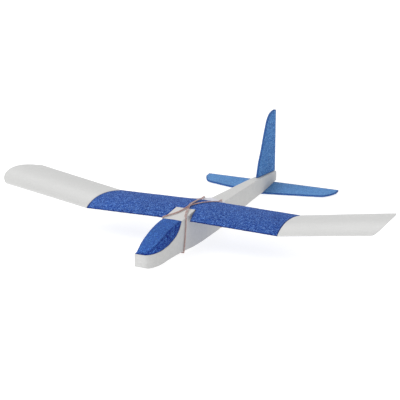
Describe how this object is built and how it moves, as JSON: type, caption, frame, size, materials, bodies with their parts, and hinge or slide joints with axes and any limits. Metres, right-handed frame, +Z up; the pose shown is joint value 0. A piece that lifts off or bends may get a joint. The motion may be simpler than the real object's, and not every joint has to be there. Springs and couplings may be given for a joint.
{
  "type": "foam hand glider",
  "caption": "Hand-launched foam glider: flat-sided fuselage with canopy, banded-on cambered wing with raised tips, fin and tailplane.",
  "frame": {"origin": "middle of the footprint of the standing glider's bounding box, on the ground", "axes": "+X to the glider's left (port) wing tip, -Y towards the nose, +Z up; the glider stands on its belly and the front edge of its tailplane"},
  "size_m": [0.5976, 0.5091, 0.1322],
  "materials": {
    "white_foam": "fine expanded bead foam, cut face",
    "blue_foam": "expanded bead foam, dyed blue with paler flecks",
    "tail_foam": "expanded bead foam sheet, lighter blue",
    "steel": "plain turned slug",
    "white_plastic": "thin white strip",
    "band_rubber": "natural rubber band"
  },
  "bodies": {
    "airframe": {"fuselage": "white_foam", "canopy": "blue_foam", "nose_ballast": "steel", "fin": "tail_foam", "tailplane": "tail_foam", "rubber_band_front": "band_rubber", "rubber_band_rear": "band_rubber"},
    "wing": {"wing_centre_left": "blue_foam", "wing_centre_right": "blue_foam", "wing_tip_left": "white_foam", "wing_tip_right": "white_foam", "trailing_edge_guard": "white_plastic"}
  },
  "joints": [
    {"name": "wing_lift", "type": "slide", "parent": "airframe", "child": "wing", "axis": [0, -0.0434, 0.9991], "range_m": [0, 0.012], "stiffness_N_per_m": 60, "springref_m": -0.03, "deforming": ["rubber_band_front", "rubber_band_rear"]}
  ]
}
